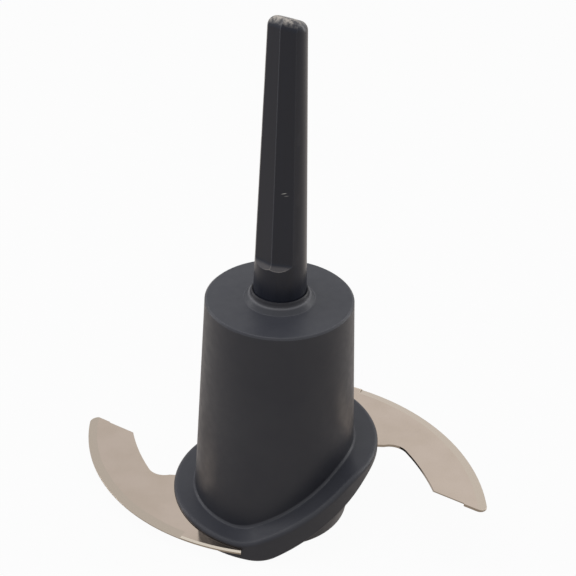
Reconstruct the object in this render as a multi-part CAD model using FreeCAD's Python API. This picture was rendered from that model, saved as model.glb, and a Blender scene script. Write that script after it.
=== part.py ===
import FreeCAD, Part
import math
import os

# Food processor blade: a hollow tapered hub moulded over one bent steel sheet,
# with a slim stem seated in the hub top. Units are mm, +Z is up, the origin is
# on the turning axis at the plane of the hub's bottom rim.

# Hub shell
rim_radius = 26.4
skirt_flare = 0.14
waist_radius = 28.75
waist_height = 6.2
hub_top_radius = 25.0
hub_height = 86.9
hub_edge_chamfer = 0.6
rim_chamfer = 0.6
shell_bottom_radius = 23.6
shell_top_radius = 22.3
roof_thickness = 2.6

# Steel sheet and its two bends
sheet_thickness = 1.0
mid_level = 17.0
level_rise = 11.1
bend_half_span = 18.5
bend_direction = 16.0
sheet_bend_radius = 6.0
ring_hole_radius = 24.7
ring_outer_radius = 33.6

# Blade outline, for the high blade, seen from above: widths are measured inwards
# from the outer arc, at angles about that arc's centre
edge_arc_radius = 71.7
edge_arc_offset = -34.3
edge_root_x = 10.4
grind_root_x = 31.7
heel_width = 22.3
heel_angle = 38.9
crook_width = 18.4
crook_angle = 35.0
blade_width = 17.7
crook_end_angle = 31.1
back_mid_angle = 18.6
corner_width = 16.9
corner_angle = 7.2
heel_aim_angle = -6.0
cut_angle = -30.6
cut_length = 11.2
nub_step = 0.35
tip_round = 2.4

# Ground bevels, and the broken corner along the unground root
edge_bevel_width = 3.2
edge_land = 0.35
edge_end_angle = -8.0
root_break_width = 0.9
root_break_depth = 0.35
cut_bevel_width = 1.6
cut_land = 0.45

# Flange moulded round the root of the sheet
flange_radius = 36.3
cover_above = 2.1
cover_below_high = 1.0
cover_below_low = 4.05
belly_high_shift = 9.3
belly_low_shift = 5.9
flange_bend_radius = 16.0
flange_top_round = 1.5
seam_chamfer = 0.6

# Collar round the foot of the stem
collar_foot_radius = 12.0
collar_crown_radius = 10.3
collar_crown_height = 1.9
collar_height = 3.6
collar_lip = 0.25
collar_top_wall = 0.5

# Socket and ribs inside the hub
fit_gap = 0.1
socket_wall = 2.4
socket_bottom = 42.0
rib_count = 6
rib_thickness = 1.8
rib_bottom = 52.0
rib_overlap = 0.6

# Stem
stem_foot_radius = 9.04
stem_taper = 0.031
stem_height = 98.0
flat_shelf_height = 16.4
flat_shelf_drop = 1.6
flat_shelf_round = 2.2
flat_foot_distance = 7.3
flat_top_distance = 5.3
flat_turn = -24.0
flat_half_angle = 17.0
top_spare = 8.0
top_slope_x = -0.22
top_slope_y = -0.35
stem_edge_round = 3.0
plug_radius = 9.0
sleeve_radius = 7.2
plug_flange_radius = 13.5
plug_flange_height = 2.5
plug_bottom = 4.0
key_width = 3.0
key_depth = 1.4
key_height = 18.0
pin_radius = 4.0
pin_depth = 62.0
pin_lead_in = 0.8


def vec(x, y, z=0.0):
    return FreeCAD.Vector(x, y, z)


def polar(radius, degrees):
    a = math.radians(degrees)
    return vec(radius * math.cos(a), radius * math.sin(a))


def revolved(points):
    # Closed (radius, height) outline turned about the Z axis
    wire = Part.makePolygon([vec(r, 0, z) for r, z in points + points[:1]])
    return Part.Face(wire).revolve(vec(0, 0), vec(0, 0, 1), 360)


def rounded_edges(points, radii):
    # Open chain of lines through the points, with an arc at each rounded corner
    edges = []
    start = points[0]
    for i in range(1, len(points) - 1):
        before = (points[i - 1] - points[i]).normalize()
        after = (points[i + 1] - points[i]).normalize()
        half = before.getAngle(after) / 2
        reach = radii[i] / math.tan(half)
        a = points[i] + before * reach
        b = points[i] + after * reach
        centre_way = (before + after).normalize()
        m = points[i] + centre_way * (radii[i] / math.sin(half) - radii[i])
        edges.append(Part.makeLine(start, a))
        edges.append(Part.Arc(a, m, b).toShape())
        start = b
    edges.append(Part.makeLine(start, points[-1]))
    return edges


def bent_slab(above, below_low, below_high, shifts, radius):
    # Plate that steps from the low level to the high one along the bend direction
    low = mid_level - level_rise
    high = mid_level + level_rise
    far = 2 * (edge_arc_radius + flange_radius)
    top = [vec(-far, 0, low + above), vec(-bend_half_span, 0, low + above),
           vec(bend_half_span, 0, high + above), vec(far, 0, high + above)]
    base = [vec(far, 0, high - below_high),
            vec(shifts[1] + bend_half_span, 0, high - below_high),
            vec(shifts[0] - bend_half_span, 0, low - below_low),
            vec(-far, 0, low - below_low)]
    radii = [0, radius, radius, 0]
    upper = rounded_edges(top, radii)
    lower = rounded_edges(base, radii)
    ends = [Part.makeLine(top[3], base[0]), Part.makeLine(base[3], top[0])]
    wire = Part.Wire([*upper, ends[0], *lower, ends[1]])
    slab = Part.Face(wire).extrude(vec(0, 2 * far, 0))
    slab.translate(vec(0, -far, 0))
    slab.rotate(vec(0, 0), vec(0, 0, 1), bend_direction)
    return slab


def arc_point(x):
    # Point of the blade's outer edge above the given x
    reach = math.sqrt(edge_arc_radius ** 2 - x ** 2)
    return vec(x, edge_arc_offset + reach)


def inside_arc(width, degrees):
    # Point at a width inside the outer arc, at an angle about the arc's centre
    return vec(0, edge_arc_offset) + polar(edge_arc_radius - width, degrees)


def blade_face():
    # Outline of the high blade, from its crooked inner edge round to the outer arc
    heel = inside_arc(heel_width, heel_angle)
    crook = inside_arc(crook_width, crook_angle)
    crook_end = inside_arc(blade_width, crook_end_angle)
    back_mid = inside_arc(blade_width, back_mid_angle)
    corner = inside_arc(corner_width, corner_angle)
    along = polar(1, cut_angle)
    out = polar(1, cut_angle - 90)
    notch = corner + along * cut_length
    nub = notch + out * nub_step + along * (nub_step * 0.5)
    centre = vec(0, edge_arc_offset)
    start = nub - out * tip_round - centre
    reach = edge_arc_radius - tip_round
    b = start.dot(along)
    run = -b + math.sqrt(b * b - start.dot(start) + reach ** 2)
    near_tip = nub + along * run
    ball = near_tip - out * tip_round
    on_arc = centre + (ball - centre).normalize() * edge_arc_radius
    middle_way = (near_tip - ball) + (on_arc - ball)
    bulge = ball + middle_way.normalize() * tip_round
    root = arc_point(edge_root_x)
    middle_way = (on_arc - centre).normalize() + (root - centre).normalize()
    arc_mid = centre + middle_way.normalize() * edge_arc_radius
    inner = vec(edge_root_x, 0.5 * (ring_hole_radius + ring_outer_radius))
    inner2 = polar(0.5 * (ring_hole_radius + ring_outer_radius), heel_aim_angle)
    edges = [Part.makeLine(inner2, heel),
             Part.Arc(heel, crook, crook_end).toShape(),
             Part.Arc(crook_end, back_mid, corner).toShape(),
             Part.makeLine(corner, notch),
             Part.makeLine(notch, nub),
             Part.makeLine(nub, near_tip),
             Part.Arc(near_tip, bulge, on_arc).toShape(),
             Part.Arc(on_arc, arc_mid, root).toShape(),
             Part.makeLine(root, inner),
             Part.makeLine(inner, inner2)]
    return Part.Face(Part.Wire(edges))


def ring_groove(centre, radius, top, points, start, sweep):
    # Cutter turned about a vertical axis: points are (offset from radius, height)
    pts = [vec(radius + r, 0, top + z) for r, z in points]
    face = Part.Face(Part.makePolygon(pts + pts[:1]))
    face.rotate(vec(0, 0), vec(0, 0, 1), start)
    face.translate(centre)
    return face.revolve(centre, vec(0, 0, 1), sweep)


def bevel_cutters():
    # Grinding of the high blade: outer edge and its root from above, the cut from below
    top = mid_level + level_rise + sheet_thickness / 2
    bottom = top - sheet_thickness
    depth = sheet_thickness - edge_land
    centre = vec(0, edge_arc_offset)
    start = arc_point(grind_root_x) - centre
    start_angle = math.degrees(math.atan2(start.y, start.x))
    slope = depth / edge_bevel_width
    outline = [(-edge_bevel_width, 0), (1, -depth - slope), (1, 1), (-edge_bevel_width, 1)]
    sweep = start_angle - edge_end_angle
    edge = ring_groove(centre, edge_arc_radius, top, outline, start_angle, -sweep)
    slope = root_break_depth / root_break_width
    outline = [(-root_break_width, 0), (1, -root_break_depth - slope), (1, 1),
               (-root_break_width, 1)]
    sweep = 90 - start_angle
    root = ring_groove(centre, edge_arc_radius, top, outline, start_angle, sweep)
    corner = inside_arc(corner_width, corner_angle)
    rise = sheet_thickness - cut_land
    lean = rise / cut_bevel_width
    along = polar(1, cut_angle)
    into = polar(1, cut_angle + 90)
    pts = []
    for reach, z in [(cut_bevel_width, 0), (-1, rise + lean), (-1, -1), (cut_bevel_width, -1)]:
        pts.append(corner + into * reach + vec(0, 0, bottom + z) - along * cut_land)
    cut = Part.Face(Part.makePolygon(pts + pts[:1])).extrude(along * (cut_length + cut_land))
    return [edge, root, cut]


def turned_half(shape):
    # The same shape for the low blade: half a turn about the axis, two levels down
    other = shape.copy()
    other.rotate(vec(0, 0), vec(0, 0, 1), 180)
    other.translate(vec(0, 0, -2 * level_rise))
    return other


def blade_sheet():
    # One steel sheet: a ring with a curved blade on each side, bent to two levels
    tall = 4 * level_rise
    base = mid_level - tall / 2
    high = blade_face().extrude(vec(0, 0, tall))
    high.translate(vec(0, 0, base))
    low = high.copy()
    low.rotate(vec(0, 0), vec(0, 0, 1), 180)
    ring = Part.makeCylinder(ring_outer_radius, tall, vec(0, 0, base))
    plan = ring.fuse([high, low])
    plan = plan.cut(Part.makeCylinder(ring_hole_radius, tall, vec(0, 0, base)))
    half = sheet_thickness / 2
    slab = bent_slab(half, half, half, (0, 0), sheet_bend_radius)
    sheet = plan.common(slab)
    for cutter in bevel_cutters():
        sheet = sheet.cut(cutter).cut(turned_half(cutter))
    return sheet.removeSplitter()


def flange_body():
    tall = 6 * level_rise
    prism = Part.makeCylinder(flange_radius, tall, vec(0, 0, mid_level - tall / 2))
    slab = bent_slab(cover_above, cover_below_low, cover_below_high,
                     (belly_low_shift, belly_high_shift), flange_bend_radius)
    return prism.common(slab)


def hub_solid():
    # Cone above the sheet, and a skirt below it that narrows to the bottom rim
    cone = revolved([(0, waist_height), (waist_radius, waist_height),
                     (hub_top_radius, hub_height), (0, hub_height)])
    top = [e for e in cone.Edges if abs(e.CenterOfMass.z - hub_height) < 0.01]
    cone = cone.makeChamfer(hub_edge_chamfer, top)
    cone = cone.cut(bent_slab(0, 3 * level_rise, 3 * level_rise, (0, 0), sheet_bend_radius))
    tall = mid_level + level_rise
    skirt = revolved([(0, 0), (rim_radius - rim_chamfer, 0), (rim_radius, rim_chamfer),
                      (rim_radius + skirt_flare * tall, tall), (0, tall)])
    skirt = skirt.common(bent_slab(0, 3 * level_rise, 3 * level_rise, (0, 0), sheet_bend_radius))
    return cone.fuse(skirt)


def top_level(point):
    # Height of the flange's upper face at a point, without the rounding of the bends
    along = vec(point.x, point.y).dot(polar(1, bend_direction))
    share = max(-1, min(1, along / bend_half_span))
    return mid_level + level_rise * share + cover_above


def outline_edges(shape, upper):
    # Edges where the flange's upper or lower face meets its side wall
    found = []
    for edge in shape.Edges:
        span = edge.LastParameter - edge.FirstParameter
        spots = [edge.valueAt(edge.FirstParameter + span * f) for f in (0.1, 0.5, 0.9)]
        if min(math.hypot(p.x, p.y) for p in spots) < flange_radius - 0.6:
            continue
        chord = spots[2] - spots[0]
        if abs(chord.z) > 0.95 * chord.Length:
            continue
        m = spots[1]
        share = (top_level(m) - m.z) / (cover_above + cover_below_high)
        if (share < 0.45) == upper:
            found.append(edge)
    return found


def seam_edges(shape):
    # Edges where the hub's cone rises out of the flange's upper face
    found = []
    low = mid_level - level_rise + cover_above
    for edge in shape.Edges:
        span = edge.LastParameter - edge.FirstParameter
        spots = [edge.valueAt(edge.FirstParameter + span * f) for f in (0.1, 0.5, 0.9)]
        reaches = [math.hypot(p.x, p.y) for p in spots]
        if max(reaches) > waist_radius + 0.2 or min(reaches) < waist_radius - 3.0:
            continue
        if spots[1].z > low - 0.1 and abs(spots[1].z - top_level(spots[1])) < 1.5:
            found.append(edge)
    return found


def collar():
    # Low crowned collar that closes round the foot of the stem
    h = hub_height
    return revolved([(0, h - 1), (collar_foot_radius, h - 1), (collar_foot_radius, h),
                     (collar_crown_radius + collar_lip, h + collar_crown_height - collar_lip),
                     (collar_crown_radius - collar_lip, h + collar_crown_height),
                     (plug_radius + collar_top_wall, h + collar_height), (0, h + collar_height)])


def hub_body(sheet):
    flange = flange_body()
    flange = flange.makeFillet(flange_top_round, outline_edges(flange, True))
    body = hub_solid().fuse(flange).removeSplitter()
    body = body.makeChamfer(seam_chamfer, seam_edges(body))
    body = body.fuse(collar())
    roof = hub_height - roof_thickness
    cavity = revolved([(0, -1), (shell_bottom_radius, -1), (shell_bottom_radius, 0),
                       (shell_top_radius, roof), (0, roof)])
    body = body.cut(cavity)
    hole = plug_radius + fit_gap
    tube_radius = hole + socket_wall
    tube = Part.makeCylinder(tube_radius, roof + 1 - socket_bottom, vec(0, 0, socket_bottom))
    body = body.fuse(tube)
    for i in range(rib_count):
        start = tube_radius - rib_overlap
        reach = shell_top_radius + rib_overlap - start
        rib = Part.makeBox(reach, rib_thickness, roof + 1 - rib_bottom,
                           vec(start, -rib_thickness / 2, rib_bottom))
        rib.rotate(vec(0, 0), vec(0, 0, 1), 360.0 * i / rib_count)
        body = body.fuse(rib)
    body = body.cut(Part.makeCylinder(hole, hub_height + 2 * collar_height))
    for turn in (0, 180):
        body = body.cut(key_block(fit_gap, turn))
    return body.cut(sheet).removeSplitter()


def key_block(gap, turn):
    # Key on the stem's plug, or the slot for it when a gap is given
    reach = plug_radius + key_depth + gap
    tall = key_height + gap
    block = Part.makeBox(reach, key_width + 2 * gap, tall,
                         vec(0, -key_width / 2 - gap, socket_bottom - gap))
    block.rotate(vec(0, 0), vec(0, 0, 1), 90 + turn)
    return block


def stem_radius(height):
    return stem_foot_radius - stem_taper * height


def flat_cutter(turn):
    # Removes one face of the stem's shallow two-faced flat, with a run-out at its foot
    shrink = math.cos(math.radians(flat_half_angle))
    foot = hub_height + flat_shelf_height
    top = hub_height + stem_height + 1.5 * top_spare
    near = flat_foot_distance * shrink
    lean = (flat_foot_distance - flat_top_distance) / (stem_height - flat_shelf_height)
    upper = near - lean * (top - foot)
    far = 2 * stem_foot_radius
    fall = flat_shelf_drop * (far - near) / (stem_radius(flat_shelf_height) - near)
    chain = rounded_edges([vec(upper, 0, top), vec(near, 0, foot), vec(far, 0, foot - fall)],
                          [0, flat_shelf_round, 0])
    chain.append(Part.makeLine(vec(far, 0, foot - fall), vec(far, 0, top)))
    chain.append(Part.makeLine(vec(far, 0, top), vec(upper, 0, top)))
    block = Part.Face(Part.Wire(chain)).extrude(vec(0, 2 * far, 0))
    block.translate(vec(0, -far, 0))
    block.rotate(vec(0, 0), vec(0, 0, 1), turn)
    return block


def stem():
    top = hub_height + stem_height + top_spare
    shaft = revolved([(0, hub_height), (stem_foot_radius, hub_height),
                      (stem_radius(stem_height + top_spare), top), (0, top)])
    face_way = -90 + flat_turn
    for turn in (0, 180):
        for side in (-1, 1):
            shaft = shaft.cut(flat_cutter(face_way + turn + side * flat_half_angle))
    lid_size = 6 * stem_foot_radius
    lid = Part.makeBox(lid_size, lid_size, lid_size, vec(-lid_size / 2, -lid_size / 2, 0))
    lean = vec(-top_slope_x, -top_slope_y, 1)
    turn = FreeCAD.Rotation(vec(0, 0, 1), lean)
    lid.Placement = FreeCAD.Placement(vec(0, 0, hub_height + stem_height), turn,
                                      vec(0, 0, 0)).multiply(lid.Placement)
    shaft = shaft.cut(lid)
    ends = [f for f in shaft.Faces if f.CenterOfMass.z > hub_height + stem_height - 1.5]
    end = max(ends, key=lambda f: f.normalAt(0, 0).dot(lean))
    shaft = shaft.makeFillet(stem_edge_round, end.Edges)
    plug = Part.makeCylinder(plug_radius, hub_height - socket_bottom, vec(0, 0, socket_bottom))
    disc_base = socket_bottom - plug_flange_height
    disc = Part.makeCylinder(plug_flange_radius, plug_flange_height, vec(0, 0, disc_base))
    sleeve = Part.makeCylinder(sleeve_radius, disc_base + 1 - plug_bottom, vec(0, 0, plug_bottom))
    body = shaft.fuse([plug, disc, sleeve, key_block(0, 0), key_block(0, 180)])
    bore = Part.makeCylinder(pin_radius, pin_depth, vec(0, 0, plug_bottom))
    mouth = Part.makeCone(pin_radius + pin_lead_in, pin_radius, pin_lead_in, vec(0, 0, plug_bottom))
    return body.cut(bore.fuse(mouth)).removeSplitter()


def main():
    os.makedirs("parts", exist_ok=True)
    sheet = blade_sheet()
    shapes = {"blade_sheet": sheet, "hub_body": hub_body(sheet), "stem": stem()}
    for name, shape in shapes.items():
        shape.exportStep("parts/" + name + ".step")
        print(name, shape.isValid(), round(shape.Volume), len(shape.Solids), len(shape.Faces))


main()
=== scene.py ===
import math

import bpy
from mathutils import Matrix, Vector


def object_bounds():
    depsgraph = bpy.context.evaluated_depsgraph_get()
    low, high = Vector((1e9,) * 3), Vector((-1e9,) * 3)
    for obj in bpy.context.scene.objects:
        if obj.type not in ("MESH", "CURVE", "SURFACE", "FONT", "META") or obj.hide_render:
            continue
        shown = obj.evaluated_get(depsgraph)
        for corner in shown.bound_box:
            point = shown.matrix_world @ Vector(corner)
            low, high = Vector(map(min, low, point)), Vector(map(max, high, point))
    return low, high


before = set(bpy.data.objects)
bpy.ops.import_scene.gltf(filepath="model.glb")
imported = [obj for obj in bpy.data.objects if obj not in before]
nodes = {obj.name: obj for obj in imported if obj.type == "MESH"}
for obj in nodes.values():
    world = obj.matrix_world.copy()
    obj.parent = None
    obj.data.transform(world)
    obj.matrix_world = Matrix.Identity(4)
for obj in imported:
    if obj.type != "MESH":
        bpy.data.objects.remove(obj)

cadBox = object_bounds()
mm = 0.001
noiseLow, noiseHigh = 0.35, 0.65  # most values of a noise texture lie between these


def hexToLinear(code):
    # sRGB hex, as a colour picker gives it, to the linear values that Cycles works in
    channels = []
    for i in (0, 2, 4):
        c = int(code.lstrip("#")[i:i + 2], 16) / 255
        channels.append(c / 12.92 if c <= 0.04045 else ((c + 0.055) / 1.055) ** 2.4)
    return (*channels, 1.0)


def addNode(tree, kind, settings, inputs):
    # A new node; an input is a value, a socket, or a node whose first output gets linked
    node = tree.nodes.new(kind)
    for name, value in settings.items():
        setattr(node, name, value)
    for name, value in inputs.items():
        if isinstance(value, bpy.types.Node):
            value = value.outputs[0]
        if isinstance(value, bpy.types.NodeSocket):
            tree.links.new(value, node.inputs[name])
        else:
            node.inputs[name].default_value = value
    return node


def emptyMaterial(name):
    material = bpy.data.materials.new(name)
    material.use_nodes = True
    material.node_tree.nodes.clear()
    return material, material.node_tree


def cellsPer(sizeMm):
    # Noise scale whose cells are about this many millimetres across
    return 1 / (sizeMm * mm)


def edgeMask(tree, soft, low, high):
    # 0 on a face and 1 on an edge, from how far the bevelled normal turns away from the face
    flat = addNode(tree, "ShaderNodeNewGeometry", {}, {})
    dot = addNode(tree, "ShaderNodeVectorMath", {"operation": "DOT_PRODUCT"},
                  {0: soft, 1: flat.outputs["Normal"]})
    return addNode(tree, "ShaderNodeMapRange", {"interpolation_type": "SMOOTHSTEP"},
                   {"Value": dot.outputs["Value"], "From Min": 1 - low, "From Max": 1 - high})


def roundMask(tree, place, towards, near, far):
    # 1 within some degrees of a direction from the axis and of its opposite, 0 further off
    aim = math.radians(towards)
    outward = addNode(tree, "ShaderNodeVectorMath", {"operation": "MULTIPLY"},
                      {0: place, 1: (1, 1, 0)})
    outward = addNode(tree, "ShaderNodeVectorMath", {"operation": "NORMALIZE"}, {0: outward})
    dot = addNode(tree, "ShaderNodeVectorMath", {"operation": "DOT_PRODUCT"},
                  {0: outward, 1: (math.cos(aim), math.sin(aim), 0)})
    dot = addNode(tree, "ShaderNodeMath", {"operation": "ABSOLUTE"}, {0: dot.outputs["Value"]})
    return addNode(tree, "ShaderNodeMapRange", {"interpolation_type": "SMOOTHSTEP"},
                   {"Value": dot, "From Min": math.cos(math.radians(far)),
                    "From Max": math.cos(math.radians(near))})


# Hub, collar and sloping flange

hub = {
    "base": "#25262c",
    "baseCooled": "#2a2b30",  # slow patches, a touch greyer
    "cornerWearAndHighlight": "#56565b",  # paler corners: a painted highlight, strongest on the rim of the top, with some wear
    "cornerShareLow": 0.20,  # share of that on the flange, while the collar has none
    "cornerShareRim": 0.50,  # share on the rim of the top
    "rimInside": 20.0,  # mm, the rim counts from this radius outwards
    "rimHeights": (0.70, 0.95),  # shares of the top's height between which it sets in
    "edgeTurn": (0.01, 0.12),  # turn of the softened normal where a corner starts and is full
    "ior": 1.53,
    "specular": 0.28,
    "roughTool": 0.41,
    "roughCooled": 0.48,
    "roughCorners": 0.36,
    "cornerRadius": 0.8,  # mm, the real moulded corner
    "sparkGrain": 0.55,  # mm; a sparked tool's grain is nearer 0.1, drawn this coarse to show
    "sparkHeight": 0.010,  # mm
    "sparkStrength": 0.5,
    "flowLength": 26.0,  # mm, slow bands where the melt ran
    "dustGrain": 3.2,  # mm, a breath of dried splashes
    "topHeight": 86.9,  # mm
    "collarFrom": 0.1,  # mm above the top
    "footShadeColour": "#1b1b20",  # painted shade round the stem's foot
    "footShadeFade": (9.4, 10.3),  # mm from the axis, where that starts to fade and is gone
    "lipHighlightColour": "#424246",  # painted highlight, the fine gleam on the collar
    "lipRise": (9.65, 10.25),  # mm from the axis
    "lipFall": (10.35, 10.85),  # mm from the axis
}


def sparkedAbs():
    # ABS moulded against a lightly sparked tool: a dark satin with one broad soft sheen
    material, tree = emptyMaterial("ABS, moulded, sparked satin")
    place = addNode(tree, "ShaderNodeTexCoord", {}, {}).outputs["Object"]
    grain = addNode(tree, "ShaderNodeTexNoise", {},
                    {"Vector": place, "Scale": cellsPer(hub["sparkGrain"]), "Detail": 3.0})
    flow = addNode(tree, "ShaderNodeTexNoise", {},
                   {"Vector": place, "Scale": cellsPer(hub["flowLength"]), "Detail": 2.0})
    dust = addNode(tree, "ShaderNodeTexNoise", {},
                   {"Vector": place, "Scale": cellsPer(hub["dustGrain"]), "Detail": 5.0})
    soft = addNode(tree, "ShaderNodeBevel", {"samples": 8}, {"Radius": hub["cornerRadius"] * mm})
    edge = edgeMask(tree, soft, *hub["edgeTurn"])
    cooled = addNode(tree, "ShaderNodeMapRange", {},
                     {"Value": flow, "From Min": noiseLow, "From Max": noiseHigh})
    faces = addNode(tree, "ShaderNodeMix", {"data_type": "RGBA"},
                    {0: cooled, 6: hexToLinear(hub["base"]), 7: hexToLinear(hub["baseCooled"])})
    spot = addNode(tree, "ShaderNodeSeparateXYZ", {}, {"Vector": place})
    flatSpot = addNode(tree, "ShaderNodeCombineXYZ", {},
                       {"X": spot.outputs["X"], "Y": spot.outputs["Y"]})
    radius = addNode(tree, "ShaderNodeVectorMath", {"operation": "LENGTH"}, {0: flatSpot})
    rimFrom, rimFull = hub["rimHeights"]
    upHigh = addNode(tree, "ShaderNodeMapRange", {},
                     {"Value": spot.outputs["Z"], "From Min": rimFrom * hub["topHeight"] * mm,
                      "From Max": rimFull * hub["topHeight"] * mm})
    farOut = addNode(tree, "ShaderNodeMath", {"operation": "GREATER_THAN"},
                     {0: radius.outputs["Value"], 1: hub["rimInside"] * mm})
    rim = addNode(tree, "ShaderNodeMath", {"operation": "MULTIPLY"}, {0: upHigh, 1: farOut})
    # Paler corners: a painted highlight, strongest on the rim of the top, with some wear
    cornerAmount = addNode(tree, "ShaderNodeMapRange", {},
                      {"Value": rim, "To Min": hub["cornerShareLow"], "To Max": hub["cornerShareRim"]})
    onTop = addNode(tree, "ShaderNodeMath", {"operation": "GREATER_THAN"},
                    {0: spot.outputs["Z"], 1: (hub["topHeight"] + hub["collarFrom"]) * mm})
    cornerAmount = addNode(tree, "ShaderNodeMath", {"operation": "MULTIPLY_ADD"},
                      {0: onTop, 1: -hub["cornerShareLow"], 2: cornerAmount})
    cornerHighlight = addNode(tree, "ShaderNodeMath", {"operation": "MULTIPLY"}, {0: edge, 1: cornerAmount})
    colour = addNode(tree, "ShaderNodeMix", {"data_type": "RGBA"},
                     {0: cornerHighlight, 6: faces.outputs[2], 7: hexToLinear(hub["cornerWearAndHighlight"])})

    # Round the stem's foot: painted shade, then a painted highlight as a fine pale ring on the
    # collar
    shadeFull, shadeGone = hub["footShadeFade"]
    footShade = addNode(tree, "ShaderNodeMapRange", {"interpolation_type": "SMOOTHSTEP"},
                    {"Value": radius.outputs["Value"], "From Min": shadeGone * mm,
                     "From Max": shadeFull * mm})
    footShade = addNode(tree, "ShaderNodeMath", {"operation": "MULTIPLY"}, {0: footShade, 1: onTop})
    riseFrom, riseTo = hub["lipRise"]
    fallFrom, fallTo = hub["lipFall"]
    inner = addNode(tree, "ShaderNodeMapRange", {"interpolation_type": "SMOOTHSTEP"},
                    {"Value": radius.outputs["Value"], "From Min": riseFrom * mm,
                     "From Max": riseTo * mm})
    outer = addNode(tree, "ShaderNodeMapRange", {"interpolation_type": "SMOOTHSTEP"},
                    {"Value": radius.outputs["Value"], "From Min": fallTo * mm,
                     "From Max": fallFrom * mm})
    collarHighlight = addNode(tree, "ShaderNodeMath", {"operation": "MULTIPLY"}, {0: inner, 1: outer})
    collarHighlight = addNode(tree, "ShaderNodeMath", {"operation": "MULTIPLY"}, {0: collarHighlight, 1: onTop})
    colour = addNode(tree, "ShaderNodeMix", {"data_type": "RGBA"},
                     {0: collarHighlight, 6: colour.outputs[2], 7: hexToLinear(hub["lipHighlightColour"])})
    colour = addNode(tree, "ShaderNodeMix", {"data_type": "RGBA"},
                     {0: footShade, 6: colour.outputs[2], 7: hexToLinear(hub["footShadeColour"])})

    roughFaces = addNode(tree, "ShaderNodeMapRange", {},
                         {"Value": dust, "From Min": noiseLow, "From Max": noiseHigh,
                          "To Min": hub["roughTool"], "To Max": hub["roughCooled"]})
    rough = addNode(tree, "ShaderNodeMix", {},
                    {0: cornerHighlight, 2: roughFaces, 3: hub["roughCorners"]})
    bump = addNode(tree, "ShaderNodeBump", {},
                   {"Height": grain, "Strength": hub["sparkStrength"],
                    "Distance": hub["sparkHeight"] * mm, "Normal": soft})
    shader = addNode(tree, "ShaderNodeBsdfPrincipled", {},
                     {"Base Color": colour.outputs[2], "Roughness": rough, "Normal": bump,
                      "IOR": hub["ior"], "Specular IOR Level": hub["specular"]})
    addNode(tree, "ShaderNodeOutputMaterial", {}, {"Surface": shader})
    return material


# Stem

stem = {
    "base": "#14171f",
    "baseWiped": "#191c26",
    "ridgeHighlight": "#5c5d63",  # painted highlight on the corners of the flats
    "ridgeAt": -114.0,  # degrees, where two flats meet; their outer corners are less pale
    "ridgeSpan": (18.0, 42.0),  # degrees to each side, full and gone
    "ridgeHighlightShare": (0.14, 0.50),  # share on the outer corners and on the ridge
    "edgeTurn": (0.002, 0.014),  # as in the hub, for flats that meet at a wide angle
    "ior": 1.48,
    "specular": 0.34,
    "roughPolished": 0.28,
    "roughWiped": 0.34,
    "cornerRadius": 0.40,  # mm
    "wipedAcross": 1.8,  # mm, width of the wiped streaks
    "wipedAlong": 36.0,  # mm, their length up the stem
    "hairAcross": 0.5,  # mm; a real hairline is nearer 0.05, drawn this wide to show
    "hairAlong": 26.0,  # mm
    "hairShown": (0.66, 0.74),  # only the peaks of the noise make a hairline
    "hairRough": 0.04,
    "hairDepth": 0.02,  # mm
    "hairStrength": 0.12,
    "upward": (0.40, 0.85),  # upright part of the normal, where a face starts to look up
    "tipWearHighlightColour": "#807b76",  # the pale tip: partly wear, partly a painted highlight
    "tipHeights": (182.1, 184.6),  # mm above the worktop, where it starts and is full
    "tipGrain": 1.4,  # mm, size of its chips and spots
    "tipChips": (0.40, 0.62),  # noise between bare and chipped
    "tipShare": (0.12, 1.0),  # of the pale tip colour, between the chips and on them
    "tipRough": 0.30,
    "shelfHeight": 103.3,  # mm, the step under the flats
    "shelfBand": (2.4, 3.2),  # mm above and below it, full and gone
    # the step's upward face is paler: a painted highlight
    "shelfHighlight": "#434041",
    "shelfLipHighlight": "#77726d",  # painted highlight, a thin pale line on its lower corner
    "shelfLipAt": -101.0,  # degrees, the middle of that line
    "shelfLipSpan": (18.0, 34.0),  # degrees to each side, full and gone
    "scuffColour": "#b9b6b0",
    "scuffCore": 0.45,  # share of a stroke's size that is at full strength
    "scuffs": [  # centre, half sizes in mm, tilt in degrees, strength
        ((0.42, -7.2, 129.30), (1.15, 3.0, 0.15), -17, 0.85),
        ((1.25, -7.2, 128.50), (1.00, 3.0, 0.11), -12, 0.45),
    ],
}


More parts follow.
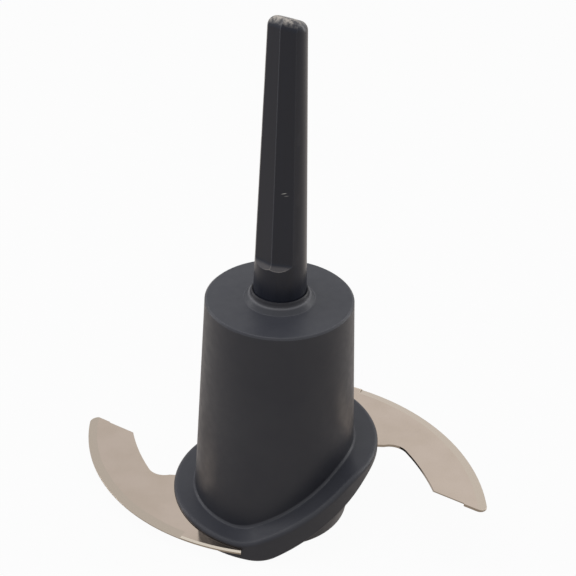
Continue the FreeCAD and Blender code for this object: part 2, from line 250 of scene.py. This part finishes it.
def polishedAcetal():
    # Acetal moulded against a polished tool: nearly black, with long clear streaks of light
    material, tree = emptyMaterial("acetal, moulded, polished")
    place = addNode(tree, "ShaderNodeTexCoord", {}, {}).outputs["Object"]
    spot = addNode(tree, "ShaderNodeSeparateXYZ", {}, {"Vector": place})
    normal = addNode(tree, "ShaderNodeNewGeometry", {}, {}).outputs["Normal"]
    facing = addNode(tree, "ShaderNodeSeparateXYZ", {}, {"Vector": normal})
    streaks = addNode(tree, "ShaderNodeMapping", {},
                      {"Vector": place, "Scale": (cellsPer(stem["wipedAcross"]),
                                                  cellsPer(stem["wipedAcross"]),
                                                  cellsPer(stem["wipedAlong"]))})
    wiped = addNode(tree, "ShaderNodeTexNoise", {},
                    {"Vector": streaks, "Scale": 1.0, "Detail": 3.0})
    hairs = addNode(tree, "ShaderNodeMapping", {},
                    {"Vector": place, "Scale": (cellsPer(stem["hairAcross"]),
                                                cellsPer(stem["hairAcross"]),
                                                cellsPer(stem["hairAlong"]))})
    hair = addNode(tree, "ShaderNodeTexNoise", {}, {"Vector": hairs, "Scale": 1.0, "Detail": 2.0})
    hairline = addNode(tree, "ShaderNodeMapRange", {},
                       {"Value": hair, "From Min": stem["hairShown"][0],
                        "From Max": stem["hairShown"][1]})
    soft = addNode(tree, "ShaderNodeBevel", {"samples": 8}, {"Radius": stem["cornerRadius"] * mm})
    edge = edgeMask(tree, soft, *stem["edgeTurn"])

    # The pale tip, partly wear and partly a painted highlight: above a height, on the faces that
    # look up, broken into chips and spots
    high = addNode(tree, "ShaderNodeMapRange", {},
                   {"Value": spot.outputs["Z"], "From Min": stem["tipHeights"][0] * mm,
                    "From Max": stem["tipHeights"][1] * mm})
    upward = addNode(tree, "ShaderNodeMapRange", {},
                     {"Value": facing.outputs["Z"], "From Min": stem["upward"][0],
                      "From Max": stem["upward"][1]})
    chips = addNode(tree, "ShaderNodeTexNoise", {},
                    {"Vector": place, "Scale": cellsPer(stem["tipGrain"]), "Detail": 4.0})
    chipMask = addNode(tree, "ShaderNodeMapRange", {},
                       {"Value": chips, "From Min": stem["tipChips"][0],
                        "From Max": stem["tipChips"][1],
                        "To Min": stem["tipShare"][0], "To Max": stem["tipShare"][1]})
    tipWearHighlight = addNode(tree, "ShaderNodeMath", {"operation": "MULTIPLY"}, {0: high, 1: upward})
    tipWearHighlight = addNode(tree, "ShaderNodeMath", {"operation": "MULTIPLY"}, {0: tipWearHighlight, 1: chipMask})

    # Painted highlight on the step under the flats, in a narrow band of heights and on the faces
    # that look up
    fromStep = addNode(tree, "ShaderNodeMath", {"operation": "SUBTRACT"},
                       {0: spot.outputs["Z"], 1: stem["shelfHeight"] * mm})
    fromStep = addNode(tree, "ShaderNodeMath", {"operation": "ABSOLUTE"}, {0: fromStep})
    nearStep = addNode(tree, "ShaderNodeMapRange", {},
                       {"Value": fromStep, "From Min": stem["shelfBand"][1] * mm,
                        "From Max": stem["shelfBand"][0] * mm})
    stepHighlight = addNode(tree, "ShaderNodeMath", {"operation": "MULTIPLY"}, {0: nearStep, 1: upward})

    colour = addNode(tree, "ShaderNodeMix", {"data_type": "RGBA"},
                     {0: wiped, 6: hexToLinear(stem["base"]), 7: hexToLinear(stem["baseWiped"])})
    # Painted highlight on the corners between the flats
    onRidge = roundMask(tree, place, stem["ridgeAt"], *stem["ridgeSpan"])
    ridgeLow, ridgeHigh = stem["ridgeHighlightShare"]
    onRidge = addNode(tree, "ShaderNodeMapRange", {},
                      {"Value": onRidge, "To Min": ridgeLow, "To Max": ridgeHigh})
    cornerHighlight = addNode(tree, "ShaderNodeMath", {"operation": "MULTIPLY"}, {0: edge, 1: onRidge})
    colour = addNode(tree, "ShaderNodeMix", {"data_type": "RGBA"},
                     {0: cornerHighlight, 6: colour.outputs[2], 7: hexToLinear(stem["ridgeHighlight"])})
    colour = addNode(tree, "ShaderNodeMix", {"data_type": "RGBA"},
                     {0: stepHighlight, 6: colour.outputs[2], 7: hexToLinear(stem["shelfHighlight"])})
    stepLipHighlight = addNode(tree, "ShaderNodeMath", {"operation": "MULTIPLY"},
                       {0: nearStep, 1: edge})
    stepLipHighlight = addNode(tree, "ShaderNodeMath", {"operation": "MULTIPLY"},
                       {0: stepLipHighlight, 1: upward})
    lipThere = roundMask(tree, place, stem["shelfLipAt"], *stem["shelfLipSpan"])
    stepLipHighlight = addNode(tree, "ShaderNodeMath", {"operation": "MULTIPLY"},
                       {0: stepLipHighlight, 1: lipThere})
    colour = addNode(tree, "ShaderNodeMix", {"data_type": "RGBA"},
                     {0: stepLipHighlight, 6: colour.outputs[2], 7: hexToLinear(stem["shelfLipHighlight"])})
    colour = addNode(tree, "ShaderNodeMix", {"data_type": "RGBA"},
                     {0: tipWearHighlight, 6: colour.outputs[2], 7: hexToLinear(stem["tipWearHighlightColour"])})
    rough = addNode(tree, "ShaderNodeMapRange", {},
                    {"Value": wiped, "From Min": noiseLow, "From Max": noiseHigh,
                     "To Min": stem["roughPolished"], "To Max": stem["roughWiped"]})
    rough = addNode(tree, "ShaderNodeMath", {"operation": "MULTIPLY_ADD"},
                    {0: hairline, 1: stem["hairRough"], 2: rough})
    rough = addNode(tree, "ShaderNodeMath", {"operation": "MULTIPLY_ADD", "use_clamp": True},
                    {0: tipWearHighlight, 1: stem["tipRough"], 2: rough})
    for centre, halfSize, tilt, strength in stem["scuffs"]:
        # One short pale stroke: inside a long thin ellipsoid that is laid on the front
        local = addNode(tree, "ShaderNodeMapping", {"vector_type": "TEXTURE"},
                        {"Vector": place, "Location": [c * mm for c in centre],
                         "Rotation": (0, math.radians(tilt), 0),
                         "Scale": [c * mm for c in halfSize]})
        reach = addNode(tree, "ShaderNodeVectorMath", {"operation": "LENGTH"}, {0: local})
        stroke = addNode(tree, "ShaderNodeMapRange", {},
                         {"Value": reach.outputs["Value"], "From Min": 1.0,
                          "From Max": stem["scuffCore"], "To Min": 0.0, "To Max": strength})
        colour = addNode(tree, "ShaderNodeMix", {"data_type": "RGBA"},
                         {0: stroke, 6: colour.outputs[2], 7: hexToLinear(stem["scuffColour"])})
    bump = addNode(tree, "ShaderNodeBump", {},
                   {"Height": hairline, "Strength": stem["hairStrength"],
                    "Distance": stem["hairDepth"] * mm, "Normal": soft})
    shader = addNode(tree, "ShaderNodeBsdfPrincipled", {},
                     {"Base Color": colour.outputs[2], "Roughness": rough, "Normal": bump,
                      "IOR": stem["ior"], "Specular IOR Level": stem["specular"]})
    addNode(tree, "ShaderNodeOutputMaterial", {}, {"Surface": shader})
    return material


# Blades: one punched sheet with a wheel-ground band along each cutting edge

blade = {
    # the sheet's warm tint is a painted reflection of the room
    "sheet": "#bcaea2",
    "sheetDried": "#b7a99c",  # where water has dried on it
    "ground": "#b8ac9f",
    "brokenCornerGleam": "#d8cec0",  # painted highlight, the gleam on the root's broken corner and cut tip
    "sheared": "#91887c",  # torn metal under the punch, greyer than the rolled face
    "roughSheet": 0.05,
    "roughDried": 0.09,
    "roughGround": 0.13,
    "roughSheared": 0.12,
    "groundUpright": (0.997, 0.985),  # upright part of the normal, from flat to ground
    "brokenUpright": (0.970, 0.955),  # from ground to broken corner
    "shearedUpright": (0.5, 0.3),  # from there to the punched edge
    "cornerRadius": 0.12,  # mm
    "rollAcross": 0.9,  # mm; rolling lines are nearer 0.02, drawn this wide to show
    "rollAlong": 22.0,  # mm
    "rollShare": 0.08,  # height of the rolling lines against the grinding marks
    "driedPatch": 11.0,  # mm
    "grindLine": 0.45,  # mm along the edge; wheel grit is nearer 0.1, drawn this wide to show
    "grindDepth": 0.005,  # mm
    "grindStrength": 0.4,
    "edgeArcCentre": (0.0, -34.3),  # mm, centre of the high blade's cutting edge
    "edgeArcRadius": 71.7,  # mm
}


def rolledStainless():
    # Stainless sheet, rolled bright: mirrors the hub and room; its warm tint is a painted
    # reflection of the room
    material, tree = emptyMaterial("stainless steel, bright rolled and ground")
    place = addNode(tree, "ShaderNodeTexCoord", {}, {}).outputs["Object"]
    spot = addNode(tree, "ShaderNodeSeparateXYZ", {}, {"Vector": place})
    normal = addNode(tree, "ShaderNodeNewGeometry", {}, {}).outputs["Normal"]
    facing = addNode(tree, "ShaderNodeSeparateXYZ", {}, {"Vector": normal})
    upright = addNode(tree, "ShaderNodeMath", {"operation": "ABSOLUTE"}, {0: facing.outputs["Z"]})

    # The ground band tilts about ten degrees off flat, and the punched edges stand upright
    tilted = addNode(tree, "ShaderNodeMapRange", {},
                     {"Value": upright, "From Min": blade["groundUpright"][0],
                      "From Max": blade["groundUpright"][1]})
    sheared = addNode(tree, "ShaderNodeMapRange", {},
                      {"Value": upright, "From Min": blade["shearedUpright"][0],
                       "From Max": blade["shearedUpright"][1]})
    ground = addNode(tree, "ShaderNodeMath", {"operation": "SUBTRACT", "use_clamp": True},
                     {0: tilted, 1: sheared})

    # Grinding marks cross the edge, so they only change with the angle about the edge's arc
    side = addNode(tree, "ShaderNodeMath", {"operation": "SIGN"}, {0: spot.outputs["X"]})
    arcX = addNode(tree, "ShaderNodeMath", {"operation": "MULTIPLY_ADD"},
                   {0: spot.outputs["X"], 1: side, 2: -blade["edgeArcCentre"][0] * mm})
    arcY = addNode(tree, "ShaderNodeMath", {"operation": "MULTIPLY_ADD"},
                   {0: spot.outputs["Y"], 1: side, 2: -blade["edgeArcCentre"][1] * mm})
    angle = addNode(tree, "ShaderNodeMath", {"operation": "ARCTAN2"}, {0: arcY, 1: arcX})
    along = addNode(tree, "ShaderNodeMath", {"operation": "MULTIPLY"},
                    {0: angle, 1: blade["edgeArcRadius"] * mm})
    marks = addNode(tree, "ShaderNodeTexNoise", {"noise_dimensions": "1D"},
                    {"W": along, "Scale": cellsPer(blade["grindLine"]), "Detail": 3.0})
    marksThere = addNode(tree, "ShaderNodeMath", {"operation": "MULTIPLY"}, {0: marks, 1: ground})

    rolled = addNode(tree, "ShaderNodeMapping", {},
                     {"Vector": place, "Scale": (cellsPer(blade["rollAlong"]),
                                                 cellsPer(blade["rollAcross"]),
                                                 cellsPer(blade["rollAcross"]))})
    rollLines = addNode(tree, "ShaderNodeTexNoise", {},
                        {"Vector": rolled, "Scale": 1.0, "Detail": 4.0})
    dried = addNode(tree, "ShaderNodeTexNoise", {},
                    {"Vector": place, "Scale": cellsPer(blade["driedPatch"]), "Detail": 5.0})
    driedMask = addNode(tree, "ShaderNodeMapRange", {},
                        {"Value": dried, "From Min": noiseLow, "From Max": noiseHigh})

    colour = addNode(tree, "ShaderNodeMix", {"data_type": "RGBA"},
                     {0: driedMask, 6: hexToLinear(blade["sheet"]),
                      7: hexToLinear(blade["sheetDried"])})
    colour = addNode(tree, "ShaderNodeMix", {"data_type": "RGBA"},
                     {0: ground, 6: colour.outputs[2], 7: hexToLinear(blade["ground"])})
    brokenGleam = addNode(tree, "ShaderNodeMapRange", {},
                     {"Value": upright, "From Min": blade["brokenUpright"][0],
                      "From Max": blade["brokenUpright"][1]})
    colour = addNode(tree, "ShaderNodeMix", {"data_type": "RGBA"},
                     {0: brokenGleam, 6: colour.outputs[2], 7: hexToLinear(blade["brokenCornerGleam"])})
    colour = addNode(tree, "ShaderNodeMix", {"data_type": "RGBA"},
                     {0: sheared, 6: colour.outputs[2], 7: hexToLinear(blade["sheared"])})
    rough = addNode(tree, "ShaderNodeMix", {},
                    {0: driedMask, 2: blade["roughSheet"], 3: blade["roughDried"]})
    rough = addNode(tree, "ShaderNodeMix", {}, {0: ground, 2: rough, 3: blade["roughGround"]})
    rough = addNode(tree, "ShaderNodeMix", {}, {0: sheared, 2: rough, 3: blade["roughSheared"]})
    soft = addNode(tree, "ShaderNodeBevel", {"samples": 8},
                   {"Radius": blade["cornerRadius"] * mm})
    height = addNode(tree, "ShaderNodeMath", {"operation": "MULTIPLY_ADD"},
                     {0: rollLines, 1: blade["rollShare"], 2: marksThere})
    bump = addNode(tree, "ShaderNodeBump", {},
                   {"Height": height, "Strength": blade["grindStrength"],
                    "Distance": blade["grindDepth"] * mm, "Normal": soft})
    shader = addNode(tree, "ShaderNodeBsdfPrincipled", {},
                     {"Base Color": colour.outputs[2], "Metallic": 1.0, "Roughness": rough,
                      "Normal": bump})
    addNode(tree, "ShaderNodeOutputMaterial", {}, {"Surface": shader})
    return material


def dress(nodeName, material):
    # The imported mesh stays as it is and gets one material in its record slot
    piece = nodes[nodeName]
    piece.data.materials.clear()
    piece.data.materials.append(material)
    for polygon in piece.data.polygons:
        polygon.material_index = 0
    print("dressed", nodeName, "in", material.name)


dress("hub_body", sparkedAbs())
dress("stem", polishedAcetal())
dress("blade_sheet", rolledStainless())


# Studio: white sweep, one big overhead softbox and two low side strips

studio = {
    "floorSize": 6.0,  # m
    "floorDrop": 0.02,  # mm below the hub's rim, so that the two don't share a plane
    "floorPaint": "#7c7c7e",
    "floorWhite": 0.96,  # share of plain white that the camera and reflections see in it
    "floorInGloss": "#efe6df",  # warm paper beside the object, seen only in its gloss
    "skyHorizon": 0.10,
    "skyOverhead": 1.30,
    "mirrorLeft": 0.90,  # what bright metal sees to the left, to the right and behind
    "mirrorRight": 1.08,
    "mirrorBehind": 0.80,
    "mirrorSideFade": (-0.2, 0.2),  # sideways part of the direction, from left to right
    "mirrorBackFade": (-0.8, 0.1),  # forward part of the direction, from behind to ahead
    "lampsAim": (0, 0, 0.07),  # m, the middle of the hub
}
lamps = {
    "overhead": {"at": (-0.30, -0.10, 1.30), "size": (1.2, 1.2), "watts": 18.0,
                 "inGloss": False},
    "rightStrip": {"at": (0.62, 0.30, 0.32), "size": (0.18, 0.7), "watts": 1.5,
                   "inGloss": True},
    "leftStrip": {"at": (-0.70, 0.25, 0.35), "size": (0.18, 0.7), "watts": 1.3,
                  "inGloss": True},
}


def sweepPaint():
    # Matt painted sweep: the camera and reflections see it nearly white, its shadow stays
    material, tree = emptyMaterial("matt paint, rolled on a sweep")
    rays = addNode(tree, "ShaderNodeLightPath", {}, {})
    seen = addNode(tree, "ShaderNodeMath", {"operation": "MAXIMUM"},
                   {0: rays.outputs["Is Camera Ray"], 1: rays.outputs["Is Glossy Ray"]})
    seen = addNode(tree, "ShaderNodeMath", {"operation": "MAXIMUM"},
                   {0: seen, 1: rays.outputs["Is Transmission Ray"]})
    share = addNode(tree, "ShaderNodeMath", {"operation": "MULTIPLY"},
                    {0: seen, 1: studio["floorWhite"]})
    paint = addNode(tree, "ShaderNodeBsdfDiffuse", {},
                    {"Color": hexToLinear(studio["floorPaint"])})
    tone = addNode(tree, "ShaderNodeMix", {"data_type": "RGBA"},
                   {0: rays.outputs["Is Glossy Ray"], 6: (1, 1, 1, 1),
                    7: hexToLinear(studio["floorInGloss"])})
    white = addNode(tree, "ShaderNodeEmission", {},
                    {"Color": tone.outputs[2], "Strength": 1.0})
    mixed = addNode(tree, "ShaderNodeMixShader", {}, {"Fac": share, 1: paint, 2: white})
    addNode(tree, "ShaderNodeOutputMaterial", {}, {"Surface": mixed})
    return material


def makeFloor():
    half = studio["floorSize"] / 2
    mesh = bpy.data.meshes.new("floor")
    mesh.from_pydata([(-half, -half, 0), (half, -half, 0), (half, half, 0), (-half, half, 0)],
                     [], [(0, 1, 2, 3)])
    floor = bpy.data.objects.new("floor", mesh)
    floor.location.z = cadBox[0].z - studio["floorDrop"] * mm
    bpy.context.scene.collection.objects.link(floor)
    mesh.materials.append(sweepPaint())
    print("floor laid at", round(floor.location.z / mm, 2), "mm")


def makeWorld():
    world = bpy.data.worlds.new("studio")
    bpy.context.scene.world = world
    world.use_nodes = True
    tree = world.node_tree
    tree.nodes.clear()
    rays = addNode(tree, "ShaderNodeLightPath", {}, {})
    direction = addNode(tree, "ShaderNodeTexCoord", {}, {}).outputs["Generated"]
    part = addNode(tree, "ShaderNodeSeparateXYZ", {}, {"Vector": direction})
    sky = addNode(tree, "ShaderNodeMapRange", {},
                  {"Value": part.outputs["Z"], "To Min": studio["skyHorizon"],
                   "To Max": studio["skyOverhead"]})
    sideways = addNode(tree, "ShaderNodeMapRange", {},
                       {"Value": part.outputs["X"], "From Min": studio["mirrorSideFade"][0],
                        "From Max": studio["mirrorSideFade"][1],
                        "To Min": studio["mirrorLeft"], "To Max": studio["mirrorRight"]})
    ahead = addNode(tree, "ShaderNodeMapRange", {},
                    {"Value": part.outputs["Y"], "From Min": studio["mirrorBackFade"][0],
                     "From Max": studio["mirrorBackFade"][1],
                     "To Min": studio["mirrorBehind"], "To Max": 1.0})
    mirrored = addNode(tree, "ShaderNodeMath", {"operation": "MULTIPLY"}, {0: sideways, 1: ahead})
    soft = addNode(tree, "ShaderNodeBackground", {}, {"Strength": sky})
    reflected = addNode(tree, "ShaderNodeBackground", {}, {"Strength": mirrored})
    plain = addNode(tree, "ShaderNodeBackground", {}, {"Strength": 1.0})
    for background in (soft, reflected, plain):
        background.inputs["Color"].default_value = (1, 1, 1, 1)
    straight = addNode(tree, "ShaderNodeMath", {"operation": "MAXIMUM"},
                       {0: rays.outputs["Is Camera Ray"], 1: rays.outputs["Is Transmission Ray"]})
    lit = addNode(tree, "ShaderNodeMixShader", {},
                  {"Fac": rays.outputs["Is Glossy Ray"], 1: soft, 2: reflected})
    final = addNode(tree, "ShaderNodeMixShader", {}, {"Fac": straight, 1: lit, 2: plain})
    addNode(tree, "ShaderNodeOutputWorld", {}, {"Surface": final})
    print("world set")


def makeLamps():
    target = Vector(studio["lampsAim"])
    for name, lamp in lamps.items():
        data = bpy.data.lights.new(name, "AREA")
        data.shape = "RECTANGLE"
        data.size, data.size_y = lamp["size"]
        data.energy = lamp["watts"]
        item = bpy.data.objects.new(name, data)
        item.location = lamp["at"]
        item.visible_glossy = lamp["inGloss"]
        item.rotation_mode = "QUATERNION"
        item.rotation_quaternion = (target - item.location).to_track_quat("-Z", "Y")
        bpy.context.scene.collection.objects.link(item)
    print("lamps set:", len(lamps))


# Camera: solved from the hub's round top, the two blade levels and the stem

photo = {
    "width": 576,
    "focalPixels": 1392.8,
    "sensor": 36.0,  # mm
    "distance": 501.1,  # mm from the axis point at mid blade level
    "elevation": 31.98,  # degrees
    "roll": 1.90,  # degrees
    "axisPixel": (274.8, 461.1),
    "axisHeight": 17.0,  # mm, mid blade level
}


def makeCamera():
    lean = math.radians(photo["elevation"])
    roll = math.radians(photo["roll"])
    levelRight = Vector((1, 0, 0))
    levelDown = Vector((0, -math.sin(lean), -math.cos(lean)))
    ahead = Vector((0, math.cos(lean), -math.sin(lean)))
    right = levelRight * math.cos(roll) - levelDown * math.sin(roll)
    down = levelRight * math.sin(roll) + levelDown * math.cos(roll)
    half = photo["width"] / 2
    reach = photo["distance"] * mm
    sideways = (photo["axisPixel"][0] - half) / photo["focalPixels"] * reach
    drop = (photo["axisPixel"][1] - half) / photo["focalPixels"] * reach
    anchor = Vector((0, 0, photo["axisHeight"] * mm))
    place = anchor - right * sideways - down * drop - ahead * reach
    data = bpy.data.cameras.new("photoCamera")
    data.sensor_width = photo["sensor"]
    data.lens = data.sensor_width * photo["focalPixels"] / photo["width"]
    data.clip_start = 0.01
    camera = bpy.data.objects.new("photoCamera", data)
    camera.matrix_world = Matrix(((right.x, -down.x, -ahead.x, place.x),
                                  (right.y, -down.y, -ahead.y, place.y),
                                  (right.z, -down.z, -ahead.z, place.z),
                                  (0, 0, 0, 1)))
    bpy.context.scene.collection.objects.link(camera)
    bpy.context.scene.camera = camera
    print("camera lens", round(data.lens, 2), "mm")


makeFloor()
makeWorld()
makeLamps()
makeCamera()
bpy.context.scene.view_settings.view_transform = "Standard"
